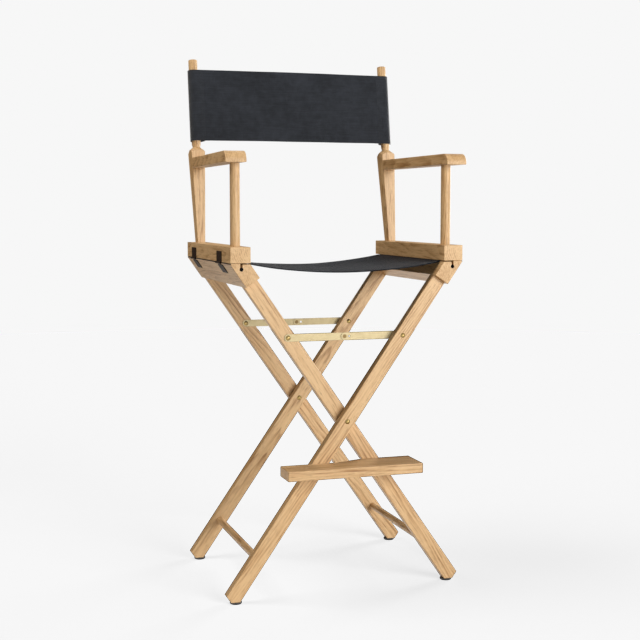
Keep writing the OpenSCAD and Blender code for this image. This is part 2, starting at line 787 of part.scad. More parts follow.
// The back cloth: a sleeve round each dowel and a flat panel across their front
module back_canvas() {
    bore = dowel_d + 2 * slide_gap + 0.4;
    color(slate) place() translate([0, post_foot_y, arm_rail_top]) rotate([-rake, 0, 0])
        translate([0, 0, post_l + back_cloth_rise]) linear_extrude(back_cloth_h) difference() {
            union() {
                for (x = [-rail_x, rail_x]) translate([x, 0]) circle(sleeve_r);
                translate([-rail_x, -sleeve_r]) square([2 * rail_x, 2 * cloth_t]);
            }
            for (x = [-rail_x, rail_x]) translate([x, 0]) circle(d = bore);
        }
}

// ---- stays --------------------------------------------------------------------------------

// Distances behind a front-layer leg's back face
stay_a_y = slide_gap + rivet_h;
stay_b_y = leg_gap - slide_gap - rivet_h - stay_t;
rivet_d = 9;
rivet_hole = 5;

// A brass strip from its screw at x = stay_half to its rivet in the middle, its front on y = 0.
// slot is the side of the square slot just past the other strip's round end.
module stay(hole_d, slot = 0) {
    z = pivot_z + stay_u * cos(leg_lean);
    along_y(0, stay_t) translate([0, z]) difference() {
        union() {
            translate([0, -stay_w / 2]) square([stay_half, stay_w]);
            for (x = [0, stay_half]) translate([x, 0]) circle(d = stay_w);
        }
        circle(d = rivet_hole);
        translate([stay_half, 0]) circle(d = hole_d);
        if (slot > 0) translate([stay_w / 2 + slide_gap, -slot / 2]) square(slot);
    }
}

// Half of the middle rivet, which stays in its own strip
module stay_rivet(head_in_front) {
    z = pivot_z + stay_u * cos(leg_lean);
    shank_d = rivet_hole - 2 * snug_fit;
    if (head_in_front) {
        y_bar(0, z, shank_d, -rivet_h, stay_t);
        y_bar(0, z, rivet_d, -rivet_h, 0);
    } else {
        y_bar(0, z, shank_d, 0, stay_t + rivet_h);
        y_bar(0, z, rivet_d, stay_t, stay_t + rivet_h);
    }
}

screw_hole_d = stay_screw_d + 2 * run_fit;

module stay_a(y) {
    color(brass) place() translate([0, y + leg_t + stay_a_y, 0]) stay(screw_hole_d, stop_slot);
}

module stay_b(y) {
    color(brass) place() translate([0, y + leg_t + stay_b_y, 0]) left() stay(screw_hole_d);
}

module stay_a_front() { stay_a(y_a_front); }
module stay_a_back() { stay_a(y_a_back); }
module stay_b_front() { stay_b(y_a_front); }
module stay_b_back() { stay_b(y_a_back); }

module rivet_a(y) {
    color(brass) place() translate([0, y + leg_t + stay_a_y, 0]) stay_rivet(true);
}

module rivet_b(y) {
    color(brass) place() translate([0, y + leg_t + stay_b_y, 0]) stay_rivet(false);
}

module stay_rivet_a_front() { rivet_a(y_a_front); }
module stay_rivet_a_back() { rivet_a(y_a_back); }
module stay_rivet_b_front() { rivet_b(y_a_front); }
module stay_rivet_b_back() { rivet_b(y_a_back); }

// Screws through frame A's legs, with a thin nut behind the strip
stay_nut_h = 1.4;

module stay_screws_a() {
    color(brass) place() for (y = [y_a_front, y_a_back]) translate([0, y, 0]) on_leg(stay_u)
        dome_screw(stay_screw_d, leg_t + stay_a_y + stay_t + slide_gap + stay_nut_h);
}

module stay_nuts_a() {
    y0 = leg_t + stay_a_y + stay_t + slide_gap;
    color(brass) place() for (y = [y_a_front, y_a_back]) translate([0, y, 0]) on_leg(stay_u)
        difference() {
            y_bar(0, 0, stay_screw_d * 2, y0, y0 + stay_nut_h);
            y_bar(0, 0, stay_screw_d + 2 * snug_fit, y0 - 1, y0 + stay_nut_h + 1);
        }
}

// Screws that hold the other strips on the front faces of frame B's legs
module stay_screws_b() {
    sink = stay_t + rivet_h + 2 * slide_gap;
    color(brass) place() left() for (y = [y_b_front, y_b_back])
        translate([0, y - sink, 0]) on_leg(stay_u) dome_screw(stay_screw_d, sink + leg_t - 2);
}

// ---- footrest -----------------------------------------------------------------------------

// The board stops at frame A's front leg on the left and reaches frame B's front leg on the right.
// A groove in its back edge takes the stud of frame B's leg as the chair folds.
module footrest() {
    back_a = y_a_front - slide_gap;
    back_b = y_b_front - slide_gap;
    z0 = footrest_mid_z - footrest_t / 2;
    groove_end = footrest_x - stud_travel;
    color(oak) place() difference() {
        translate([0, 0, z0]) linear_extrude(footrest_t)
            polygon([[-footrest_w / 2, footrest_front_y], [footrest_w / 2, footrest_front_y],
                     [footrest_w / 2, back_b], [footrest_step_end, back_b],
                     [footrest_step_start, back_a], [-footrest_w / 2, back_a]]);
        y_bar(-footrest_x, footrest_mid_z, footrest_pin_d + 2 * run_fit,
              y_a_front - footrest_pin_reach - 0.5, y_a_front + 1);
        y_bar(footrest_x, footrest_mid_z, 2 * groove_r, footrest_stud_tip - 1, y_b_front + 1);
        y_bar(groove_end, footrest_mid_z, 2 * groove_r, footrest_stud_tip - 1, y_b_front + 1);
        translate([groove_end, footrest_stud_tip - 1, footrest_mid_z - groove_r])
            cube([stud_travel, y_b_front - footrest_stud_tip + 2, 2 * groove_r]);
    }
}

// A shoulder screw through frame A's front leg, its low head in the gap behind it
module footrest_screw() {
    color(steel) place() {
        y_bar(-footrest_x, footrest_mid_z, footrest_pin_d, y_a_front - footrest_pin_reach,
              y_a_front + leg_t + 0.5);
        y_bar(-footrest_x, footrest_mid_z, footrest_pin_d + 5, y_a_front + leg_t,
              y_a_front + leg_t + leg_gap / 2);
    }
}

// A plain stud in frame B's front leg that slides in the board's groove
module footrest_stud() {
    color(steel) place()
        y_bar(footrest_x, footrest_mid_z, footrest_pin_d, footrest_stud_tip, y_b_front + leg_t);
}

// -------------------------------------------------------------------------------------------

leg_a_front();
leg_a_back();
leg_b_front();
leg_b_back();
stretcher_a();
stretcher_b();
glides_a();
glides_b();
glide_nails_a();
glide_nails_b();
pivot_bolts();
pivot_spacers();
pivot_nuts();
seat_rail_right();
seat_rail_left();
hem_rod_right();
hem_rod_left();
seat_canvas();
hinge_lower_leaves_right();
hinge_lower_leaves_left();
hinge_upper_leaves_right();
hinge_upper_leaves_left();
hinge_pins_right();
hinge_pins_left();
hinge_lower_screws_right();
hinge_lower_screws_left();
hinge_upper_screws_right();
hinge_upper_screws_left();
arm_rail_right();
arm_rail_left();
front_post_right();
front_post_left();
back_post_right();
back_post_left();
armrest_right();
armrest_left();
arm_screws_right();
arm_screws_left();
armrest_screw_right();
armrest_screw_left();
back_canvas();
stay_a_front();
stay_a_back();
stay_b_front();
stay_b_back();
stay_rivet_a_front();
stay_rivet_a_back();
stay_rivet_b_front();
stay_rivet_b_back();
stay_screws_a();
stay_nuts_a();
stay_screws_b();
footrest();
footrest_screw();
footrest_stud();
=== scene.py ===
"""The looks of a tall folding director's chair: varnished oak, dark canvas and brass fittings,
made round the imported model. Metres, +Z up, the chair faces -Y."""
import json
import math
import random

import bpy
import bmesh
from mathutils import Matrix, Quaternion, Vector, noise

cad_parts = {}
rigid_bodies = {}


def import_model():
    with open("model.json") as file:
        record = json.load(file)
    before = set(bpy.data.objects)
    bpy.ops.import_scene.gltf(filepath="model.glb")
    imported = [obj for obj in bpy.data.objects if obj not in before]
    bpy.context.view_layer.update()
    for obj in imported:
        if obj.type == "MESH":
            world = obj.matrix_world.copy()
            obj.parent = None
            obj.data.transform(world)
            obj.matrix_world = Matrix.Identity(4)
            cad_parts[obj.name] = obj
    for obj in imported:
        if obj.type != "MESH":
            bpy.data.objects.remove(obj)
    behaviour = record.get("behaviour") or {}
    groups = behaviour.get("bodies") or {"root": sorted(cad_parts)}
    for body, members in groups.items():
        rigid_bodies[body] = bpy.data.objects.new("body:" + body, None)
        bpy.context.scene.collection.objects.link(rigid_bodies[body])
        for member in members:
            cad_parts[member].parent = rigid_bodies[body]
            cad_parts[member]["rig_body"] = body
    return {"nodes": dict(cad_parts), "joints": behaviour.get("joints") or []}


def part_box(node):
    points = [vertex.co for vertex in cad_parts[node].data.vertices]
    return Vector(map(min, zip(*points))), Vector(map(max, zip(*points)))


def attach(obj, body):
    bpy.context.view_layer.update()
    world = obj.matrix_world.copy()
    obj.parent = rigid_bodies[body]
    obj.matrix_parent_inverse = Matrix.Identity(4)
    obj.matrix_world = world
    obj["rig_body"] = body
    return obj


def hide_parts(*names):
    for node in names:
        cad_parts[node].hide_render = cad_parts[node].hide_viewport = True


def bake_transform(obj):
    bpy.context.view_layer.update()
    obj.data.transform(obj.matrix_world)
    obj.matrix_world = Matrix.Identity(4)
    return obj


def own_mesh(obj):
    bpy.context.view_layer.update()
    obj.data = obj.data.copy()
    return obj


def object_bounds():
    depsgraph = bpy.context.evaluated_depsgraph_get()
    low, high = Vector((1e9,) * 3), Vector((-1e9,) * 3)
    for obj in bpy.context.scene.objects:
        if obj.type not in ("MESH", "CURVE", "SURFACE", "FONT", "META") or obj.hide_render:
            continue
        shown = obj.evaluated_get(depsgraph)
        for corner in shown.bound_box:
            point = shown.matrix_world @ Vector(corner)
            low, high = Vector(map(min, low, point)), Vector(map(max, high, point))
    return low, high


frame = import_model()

cad_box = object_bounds()
bpy.ops.object.select_all(action="DESELECT")


# ---- Legs ---------------------------------------------------------------------------------
# Four squared oak legs in two crossed frames, tenoned up into the seat rails. Their long edges are
# rounded on a router, their feet are sawn level, and a clear satin varnish lies over an open,
# streaky grain.

class Link:
    """A value in a material. Sums, differences and products on it add Math nodes."""

    def __init__(self, finish, socket):
        self.finish = finish
        self.socket = socket

    def math(self, operation, *values):
        return self.finish.add("ShaderNodeMath", {"operation": operation}, dict(enumerate(values)))

    def __add__(self, other):
        return self.math("ADD", self, other)

    def __sub__(self, other):
        return self.math("SUBTRACT", self, other)

    def __rsub__(self, other):
        return self.math("SUBTRACT", other, self)

    def __mul__(self, other):
        return self.math("MULTIPLY", self, other)

    __radd__ = __add__
    __rmul__ = __mul__


class Finish:
    """A material with one shader, whose sockets are set or linked by name. The room's light is one
    too: owner is then the world and shader its Background node."""

    def __init__(self, name, owner=None, shader="Principled BSDF", **sockets):
        self.material = owner or bpy.data.materials.new(name)
        self.material.use_nodes = True
        self.tree = self.material.node_tree
        self.shader = self.tree.nodes[shader]
        self.set(**sockets)

    def set(self, **sockets):
        for name, value in sockets.items():
            self.feed(self.shader.inputs[name.replace("_", " ")], value)

    def feed(self, socket, value):
        if isinstance(value, Link):
            self.tree.links.new(value.socket, socket)
        else:
            socket.default_value = value

    def add(self, kind, settings, values, output=0):
        """Adds any node: its settings first, then its sockets' values or links. Gives one output."""
        node = self.tree.nodes.new(kind)
        for name, value in settings.items():
            setattr(node, name, value)
        for socket, value in values.items():
            self.feed(node.inputs[socket], value)
        return Link(self, node.outputs[output])

    def mix(self, share, first, second):
        return self.add("ShaderNodeMix", {"data_type": "RGBA"}, {0: share, 6: first, 7: second}, 2)

    def xyz(self, x, y, z):
        return self.add("ShaderNodeCombineXYZ", {}, {0: x, 1: y, 2: z})

    def noise(self, place, detail, rough=0.5):
        values = {"Vector": place, "Scale": 1.0, "Detail": detail, "Roughness": rough}
        return self.add("ShaderNodeTexNoise", {}, values)

    def dot(self, first, second):
        return self.add("ShaderNodeVectorMath", {"operation": "DOT_PRODUCT"}, {0: first, 1: second},
                        "Value")

    def length(self, vector):
        return self.add("ShaderNodeVectorMath", {"operation": "LENGTH"}, {0: vector}, "Value")

    def spread(self, value, low, high, to_low=0.0, to_high=1.0):
        """Takes low to high onto to_low to to_high, with soft ends and nothing beyond them."""
        settings = {"interpolation_type": "SMOOTHSTEP"}
        return self.add("ShaderNodeMapRange", settings,
                        {0: value, 1: low, 2: high, 3: to_low, 4: to_high})

    def bump(self, height, strength, distance):
        self.set(Normal=self.add("ShaderNodeBump", {}, {"Strength": strength, "Distance": distance,
                                                        "Height": height}))


def rgb(red, green, blue):
    return (red, green, blue, 1.0)


OAK_PALE = rgb(0.655, 0.430, 0.215)
OAK_MID = rgb(0.435, 0.232, 0.084)
OAK_DARK = rgb(0.130, 0.050, 0.014)
# Near black, painted as shade into grooves and seams that lie in deep shade.
PAINTED_SHADE_BLACK = rgb(0.012, 0.007, 0.004)


def oak(name, centre, along, heart=(0.07, None), ring=0.0042, tone=0.0, shaded_grooves=()):
    """Varnished oak with its grain along a direction. heart is how far away the heart of the tree
    lay, and in which direction. ring is the width of a year's growth, and tone darkens the piece.
    Each (x, z, radius) in the last argument is a place along Y where the wood is painted near
    black: painted shade for the deep shade inside a groove or seam."""
    chance = random.Random(name)
    finish = Finish("oak_" + name, Specular_IOR_Level=0.25, Coat_Weight=0.3, Coat_Roughness=0.38)
    along = Vector(along).normalized()
    reach, towards = heart
    if towards is None:
        towards = along.orthogonal().normalized()
        towards.rotate(Quaternion(along, chance.uniform(0, math.tau)))
    side = (Vector(towards) - along * along.dot(Vector(towards))).normalized()
    place = finish.add("ShaderNodeTexCoord", {}, {}, "Object")
    local = []
    for axis in (along, side, along.cross(side)):
        local.append(finish.dot(place, axis) - axis.dot(Vector(centre)))
    u, v, w = local
    start = chance.uniform(3, 30)

    def streaks(length, width, detail, rough=0.55):
        vector = finish.xyz(u * (1 / length) + start, v * (1 / width) + start, w * (1 / width))
        return finish.noise(vector, detail, rough)

    wander = streaks(0.26, 0.045, 2.0)
    drift = streaks(0.20, 0.030, 1.0)
    slope = chance.choice((-1, 1)) * chance.uniform(0.015, 0.04)
    across = v + (wander - 0.5) * 0.020 + u * slope - reach
    deep = w + (drift - 0.5) * 0.016
    years = finish.length(finish.xyz(0.0, across, deep)) * (1 / ring) + wander * 1.4
    year = years.math("FRACT", years)
    late = finish.spread(year, 0.20, 0.88) * finish.spread(year, 1.0, 0.92)
    late = late * finish.spread(drift, 0.28, 0.60, 0.45, 1.0)
    broad = streaks(0.11, 0.0060, 3.0, 0.6)
    fine = streaks(0.040, 0.0019, 3.0, 0.65)
    flecks = streaks(0.020, 0.0013, 2.0)
    pores = streaks(0.007, 0.0004, 2.0)
    cloud = streaks(0.22, 0.028, 2.0)
    facing = finish.dot(finish.add("ShaderNodeTexCoord", {}, {}, "Normal"), along)
    end = finish.spread(facing.math("ABSOLUTE", facing), 0.55, 0.85)

    shade = late * 0.34 + finish.spread(broad, 0.36, 0.68) * 0.38 + (fine - 0.5) * 0.75
    shade = shade + finish.spread(cloud, 0.34, 0.70) * 0.22 + (tone - 0.10)
    colour = finish.mix(finish.spread(shade, 0.0, 0.95), OAK_PALE, OAK_MID)
    streak = finish.spread(broad * 0.45 + fine * 0.35 + late * 0.20, 0.50, 0.76)
    colour = finish.mix(streak * 0.60, colour, OAK_DARK)
    colour = finish.mix(finish.spread(flecks, 0.56, 0.72) * 0.50, colour, OAK_DARK)
    colour = finish.mix(finish.spread(pores, 0.60, 0.74) * 0.25, colour, OAK_DARK)
    colour = finish.mix(end * 0.25, colour, OAK_PALE)
    soft = finish.add("ShaderNodeBevel", {"samples": 4}, {"Radius": 0.0016})
    turn = finish.dot(soft, finish.add("ShaderNodeNewGeometry", {}, {}, "Normal"))
    worn = finish.spread(turn, 0.99, 0.86) * finish.spread(fine, 0.35, 0.65)
    colour = finish.mix(worn * 0.25, colour, OAK_DARK)
    # Painted shade: the wood inside the hem groove and in the seam under the arm rail is painted near
    # black, where shade falls.
    for x, z, radius in shaded_grooves:
        from_axis = finish.add("ShaderNodeVectorMath", {"operation": "MULTIPLY_ADD"},
                               {0: place, 1: (1, 0, 1), 2: (-x, 0, -z)})
        in_painted_shade = finish.spread(finish.length(from_axis), radius + 0.0002, radius)
        colour = finish.mix(in_painted_shade, colour, PAINTED_SHADE_BLACK)
    finish.set(Base_Color=colour, Roughness=0.38 + broad * 0.12 + flecks * 0.10 + end * 0.12)
    finish.bump(fine * 0.5 + flecks * 0.5 - late * 0.15, 0.5, 0.00025)
    return finish.material


def only(piece):
    """Leaves one object selected and active, as a click on it would."""
    bpy.ops.object.select_all(action="DESELECT")
    piece.select_set(True)
    bpy.context.view_layer.objects.active = piece


def apply_modifier(piece, kind, **settings):
    """Adds a modifier to a piece and applies it at once."""
    only(piece)
    modifier = piece.modifiers.new(kind.title(), kind)
    for name, value in settings.items():
        setattr(modifier, name, value)
    bpy.ops.object.modifier_apply(modifier=modifier.name)


def eased(node, edge, material, segments=2, flat=0.6, least=0.005):
    """A machined piece as the sandpaper leaves it: the CAD piece's faces, with its sharp edges
    rounded over by a small radius. Faces that turn by less than flat degrees become one. Edges
    shorter than least, the rims of small holes, and edges of faces too narrow for the radius stay
    sharp."""
    source = frame["nodes"][node]
    piece = bpy.data.objects.new(node + "_eased", source.data.copy())
    bpy.context.scene.collection.objects.link(piece)
    only(piece)
    bpy.ops.mesh.customdata_custom_splitnormals_clear()
    bpy.ops.object.mode_set(mode="EDIT")
    bpy.ops.mesh.select_all(action="SELECT")
    bpy.ops.mesh.remove_doubles(threshold=0.000002)
    bpy.ops.mesh.dissolve_limited(angle_limit=math.radians(flat))
    bpy.ops.object.mode_set(mode="OBJECT")
    shell = bmesh.new()
    shell.from_mesh(piece.data)
    weight = shell.edges.layers.float.new("bevel_weight_edge")
    for line in shell.edges:
        room = min(face.calc_area() for face in line.link_faces) / line.calc_length()
        sharp = line.calc_face_angle() > math.radians(42)
        line[weight] = float(sharp and line.calc_length() > least and room > 2 * edge)
    shell.to_mesh(piece.data)
    shell.free()
    apply_modifier(piece, "BEVEL", width=edge, segments=segments, limit_method="WEIGHT",
                   use_clamp_overlap=False)
    bpy.ops.object.shade_smooth_by_angle(angle=math.radians(50))
    apply_modifier(piece, "WEIGHTED_NORMAL", keep_sharp=True)
    piece.data.materials.clear()
    piece.data.materials.append(material)
    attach(piece, source["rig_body"])
    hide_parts(node)
    return piece


def middle(node):
    """The middle of a CAD piece's box."""
    low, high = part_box(node)
    return (low + high) / 2


joint_at = {joint["name"]: Vector(joint["pos_m"]) for joint in frame["joints"]}
crossing = joint_at["fold"]
stay_screw = joint_at["stays_a_pivot"]
lean = math.atan2(stay_screw.x - crossing.x, stay_screw.z - crossing.z)
LEG_EDGE = 0.0007

for node, lean_x in (("leg_a_front", 1), ("leg_a_back", 1), ("leg_b_front", -1), ("leg_b_back", -1)):
    grain = (lean_x * math.sin(lean), 0, math.cos(lean))
    eased(node, LEG_EDGE, oak(node, middle(node), grain))


# ---- Stretchers ---------------------------------------------------------------------------
# Two turned oak bars, one low between the two legs of each frame. Their ends are glued into blind
# holes in the legs.

def finish_node(node, material):
    """Puts a finish on a CAD piece whose shape is right as it is."""
    piece = frame["nodes"][node]
    piece.data.materials.clear()
    piece.data.materials.append(material)


for node in ("stretcher_a", "stretcher_b"):
    finish_node(node, oak(node, middle(node), (0, 1, 0), heart=(0.03, None), ring=0.003))


# ---- Glides -------------------------------------------------------------------------------
# A black moulded disc with a domed rim under each foot, a little scuffed from being dragged. A
# steel nail with its head sunk in the middle of the disc holds it.

def moulded_black():
    finish = Finish("glide_black", Specular_IOR_Level=0.5)
    place = finish.add("ShaderNodeTexCoord", {}, {}, "Object")

    def speckle(scale, detail):
        scaled = finish.add("ShaderNodeVectorMath", {"operation": "SCALE"}, {0: place, "Scale": scale})
        return finish.noise(scaled, detail)

    grain = speckle(900.0, 3.0)
    scuff = finish.spread(speckle(240.0, 4.0), 0.55, 0.75)
    finish.set(Base_Color=finish.mix(scuff * 0.5, rgb(0.012, 0.012, 0.013), rgb(0.06, 0.06, 0.058)),
               Roughness=0.34 + scuff * 0.3)
    finish.bump(grain, 0.2, 0.0001)
    return finish.material


glide_black = moulded_black()
for node in ("glides_a", "glides_b"):
    finish_node(node, glide_black)


# ---- Brass and steel ----------------------------------------------------------------------
# The crossing bolts with their spacers and cap nuts, the stays' screws and nuts and the armrests'
# screws are lacquered brass. Nails, hem rods and the other screws are plain bright steel.

def metal(name, colour, dull, rough, age=0.5, bare=1.0):
    """Lightly brushed metal: fine scratches, and a duller bloom here and there. bare is 0 where a
    matt lacquer hides the metal."""
    finish = Finish(name, Metallic=bare, Specular_IOR_Level=0.1 + 0.4 * bare)
    place = finish.add("ShaderNodeTexCoord", {}, {}, "Object")

    def speckle(x, y, z, detail):
        scale = finish.add("ShaderNodeVectorMath", {"operation": "MULTIPLY"},
                           {0: place, 1: (x, y, z)})
        return finish.noise(scale, detail)

    scratches = speckle(120.0, 2200.0, 2200.0, 3.0)
    bloom = speckle(90.0, 90.0, 90.0, 3.0)
    finish.set(Base_Color=finish.mix(finish.spread(bloom, 0.42, 0.75) * age, colour, dull),
               Roughness=rough + scratches * 0.10 + finish.spread(bloom, 0.4, 0.8) * 0.2 * age)
    finish.bump(scratches, 0.15, 0.00005)
    return finish.material


brass = metal("brass_lacquered", rgb(0.34, 0.245, 0.095), rgb(0.22, 0.145, 0.055), 0.22)
brass_satin = metal("brass_satin", rgb(0.30, 0.247, 0.145), rgb(0.25, 0.195, 0.105), 0.46, 0.2)
brass_browned = metal("brass_browned", rgb(0.026, 0.015, 0.009), rgb(0.014, 0.009, 0.006), 0.42,
                      bare=0.0)
steel = metal("steel_bright", rgb(0.62, 0.62, 0.61), rgb(0.42, 0.41, 0.40), 0.30)

for node in ("pivot_bolts", "pivot_spacers", "pivot_nuts", "stay_screws_a", "stay_screws_b",
             "stay_nuts_a", "armrest_screw_right", "armrest_screw_left"):
    finish_node(node, brass)
for node in ("glide_nails_a", "glide_nails_b", "hem_rod_right", "hem_rod_left",
             "arm_screws_right", "arm_screws_left", "footrest_screw", "footrest_stud"):
    finish_node(node, steel)


# ---- Seat rails ---------------------------------------------------------------------------
# Oak rails with leaning sides on top of each leg frame. A keyhole groove runs along the top of
# each and holds the hem of the seat cloth. The groove and the narrow seam under the arm rail get
# painted shade: their wood is painted near black where shade falls.

RAIL_EDGE = 0.0010
GROOVE_SHADE_REACH = 0.0043
SEAM_SHADE_REACH = 0.0014
arm_low, arm_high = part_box("arm_rail_right")
seam_at = (arm_high.x - 0.0004, arm_low.z - 0.0012)
for side, node in ((1, "seat_rail_right"), (-1, "seat_rail_left")):
    rod_middle = middle(node.replace("seat_rail", "hem_rod"))
    # Painted shade: near black in the hem groove and in the seam under the arm rail.
    shaded_grooves = ((rod_middle.x, rod_middle.z, GROOVE_SHADE_REACH), (side * seam_at[0], seam_at[1], SEAM_SHADE_REACH))
    timber = oak(node, middle(node), (0, 1, 0), (0.06, (1, 0, 0.2)), 0.0034, 0.16, shaded_grooves)
    eased(node, RAIL_EDGE, timber)


# ---- Arm rails, posts and armrests --------------------------------------------------------
# Each arm is an oak rail hinged on the seat rail, with a round front post and a raked back post
# tenoned into it. The armrest has a rounded nose, sits on the front post and butts against the
# back one.

for node in ("arm_rail_right", "arm_rail_left"):
    eased(node, RAIL_EDGE, oak(node, middle(node), (0, 1, 0), (0.055, (1, 0, 0.3))))
for node, tone in (("armrest_right", 0.20), ("armrest_left", 0.06)):
    timber = oak(node, middle(node), (0, 1, 0), (0.06, (1, 0, 0.1)), 0.0036, tone)
    eased(node, 0.0018, timber, segments=3, flat=2.6, least=0.0012)
for node in ("front_post_right", "front_post_left"):
    finish_node(node, oak(node, middle(node), (0, 0, 1), (0.02, None), 0.003))

# The back posts lean back by the rake, their round upper parts too.
rake = math.radians(9.0)
for node in ("back_post_right", "back_post_left"):
    timber = oak(node, middle(node), (0, math.sin(rake), math.cos(rake)), (0.05, None))
    eased(node, 0.0008, timber)


# ---- Footrest -----------------------------------------------------------------------------
# An oak board that stays level: a shoulder screw carries it on frame A, a stud in frame B slides
# in a groove in its back edge.

board = oak("footrest", middle("footrest"), (1, 0, 0), (0.05, (0, 0.6, 1)), 0.005, 0.08)
eased("footrest", 0.0012, board)


# ---- Arm hinges ---------------------------------------------------------------------------
# Two small butt hinges on each side, of browned brass with rounded leaves. The leaves are screwed
# to the outer faces of the arm rail and the seat rail.

for side in ("right", "left"):
    for leaf in ("hinge_upper_leaves_", "hinge_lower_leaves_"):
        eased(leaf + side, 0.00025, brass_browned, least=0.0)
    for node in ("hinge_pins_", "hinge_upper_screws_", "hinge_lower_screws_"):
        finish_node(node + side, brass_browned)


# ---- Stays --------------------------------------------------------------------------------
# Two stays, one at the front and one at the back, lock the chair open. Each is two brass strips
# riveted end to end, and the one on frame A has a square slot punched beside the rivet.

for node in ("stay_a_front", "stay_a_back", "stay_b_front", "stay_b_back"):
    eased(node, 0.00025, brass_satin, least=0.0)
# The rivets' flat heads are worn darker than the strips.
brass_worn = metal("brass_worn", rgb(0.16, 0.11, 0.05), rgb(0.10, 0.065, 0.03), 0.50, 0.2)
for node in ("stay_rivet_a_front", "stay_rivet_a_back", "stay_rivet_b_front", "stay_rivet_b_back"):
    finish_node(node, brass_worn)


# ---- Seat canvas --------------------------------------------------------------------------
# One width of heavy dark canvas slung between the seat rails. Its side hems go down the keyhole
# grooves round a rod, and its front and back edges are folded under and stitched.

CLOTH = 0.0012


def woven(name, u_size, v_size, shine, nap):
    """Plain-woven cotton canvas. u_size and v_size are the sheet's size in metres, for its UV map,
    shine is its yarns' gloss and nap how much loose fibre catches the light at a flat angle."""
    finish = Finish(name, Specular_IOR_Level=shine, Sheen_Weight=nap, Sheen_Roughness=0.35)
    uv = finish.add("ShaderNodeUVMap", {}, {})
    u = finish.add("ShaderNodeSeparateXYZ", {}, {0: uv}, "X") * u_size
    v = finish.add("ShaderNodeSeparateXYZ", {}, {0: uv}, "Y") * v_size
    yarn_pitch = 0.00115
    warp, weft = (way.math("SINE", way * (math.pi / yarn_pitch)) for way in (u, v))
    over = finish.spread(warp * weft, -0.35, 0.35)
    height = warp.math("ABSOLUTE", warp) * over + weft.math("ABSOLUTE", weft) * (1 - over)

    def yarn(along, across, detail):
        return finish.noise(finish.xyz(u * along, v * across, 0.0), detail)

    slub = yarn(42.0, 620.0, 3.0) * 0.6 + yarn(620.0, 42.0, 3.0) * 0.4
    mottle = yarn(60.0, 60.0, 4.0)
    lines = yarn(9.0, 260.0, 2.0)
    cloud = yarn(9.0, 9.0, 3.0)
    level = (0.62 + height * 0.30 + (slub - 0.5) * 0.75 + (mottle - 0.5) * 0.55
             + (lines - 0.5) * 0.40 + (cloud - 0.5) * 0.75)
    dark, light = rgb(0.0040, 0.0050, 0.0072), rgb(0.0220, 0.0250, 0.0320)
    finish.set(Base_Color=finish.mix(finish.spread(level, 0.45, 1.15), dark, light),
               Roughness=0.60 + (slub - 0.5) * 0.2)
    finish.bump(height * 0.7 + slub * 0.5 + lines * 0.3, 0.7, 0.00035)
    return finish.material


def sheet_mesh(name, across, along, shape):
    """A grid of across by along faces with a UV map, each point put where shape(s, t) says. s goes
    from 0 to 1 across the sheet and t from 0 to 1 along it."""
    bpy.ops.object.select_all(action="DESELECT")
    bpy.ops.mesh.primitive_grid_add(x_subdivisions=across, y_subdivisions=along, size=1,
                                    calc_uvs=True)
    piece = bpy.context.object
    piece.name = name
    for vertex in piece.data.vertices:
        vertex.co = shape(vertex.co.x + 0.5, vertex.co.y + 0.5)
    return piece


def thicken(piece, single, hem_at):
    """Gives a sheet the thickness of a single cloth where hem_at(s, t) is 0.5, and twice that where
    it is 1, in a folded hem."""
    group = piece.vertex_groups.new(name="hem")
    uv = piece.data.uv_layers[0].data
    place = {loop.vertex_index: uv[loop.index].uv.copy() for loop in piece.data.loops}
    for vertex in piece.data.vertices:
        group.add([vertex.index], hem_at(*place[vertex.index]), "REPLACE")
    apply_modifier(piece, "SOLIDIFY", thickness=2 * single, offset=0.0, vertex_group="hem",
                   use_even_offset=False)
    bpy.ops.object.shade_smooth_by_angle(angle=math.radians(50))


# From one stitch to the next, and half a stitch's length, width and height through the cloth
STITCH = 0.0042
STITCH_HALF = (0.0013, 0.00034, 0.00105)


def stitch_rows(name, rows, body_of, material):
    """Stitches of thread as one piece, from a list of (place, along, out). Each goes through the
    cloth, so that it shows on both sides."""
    bpy.ops.object.select_all(action="DESELECT")
    bpy.ops.mesh.primitive_uv_sphere_add(segments=6, ring_count=4, radius=1)
    pattern = bpy.context.object
    whole = bmesh.new()
    for place, along, out in rows:
        along = along.normalized()
        out = (out - along * out.dot(along)).normalized()
        aside = out.cross(along)
        sides = (way * half for way, half in zip((along, aside, out), STITCH_HALF))
        turn = Matrix(tuple(sides)).transposed().to_4x4()
        turn.translation = place
        first = len(whole.verts)
        whole.from_mesh(pattern.data)
        whole.verts.ensure_lookup_table()
        bmesh.ops.transform(whole, matrix=turn, verts=whole.verts[first:])
    thread = bpy.data.objects.new(name, bpy.data.meshes.new(name))
    whole.to_mesh(thread.data)
    whole.free()
    bpy.data.objects.remove(pattern)
    bpy.context.scene.collection.objects.link(thread)
    only(thread)
    bpy.ops.object.shade_smooth()
    thread.data.materials.append(material)
    if body_of:
        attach(thread, body_of)
    return thread


def row_on(shape, start, end, count):
    """A row of stitches on a sheet from one (s, t) to another."""
    found = []
    small = 0.002
    for index in range(count):
        share = (index + 0.5) / count
        s = start[0] + (end[0] - start[0]) * share
        t = start[1] + (end[1] - start[1]) * share
        across = shape(min(1, s + small), t) - shape(max(0, s - small), t)
        down = shape(s, min(1, t + small)) - shape(s, max(0, t - small))
        along = across if start[1] == end[1] else down
        found.append((shape(s, t), along, across.cross(down)))
    return found


rod_low, rod_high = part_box("hem_rod_right")
cloth_low, cloth_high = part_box("seat_canvas")
rod = (rod_low + rod_high) / 2
rod_radius = (rod_high.x - rod_low.x) / 2
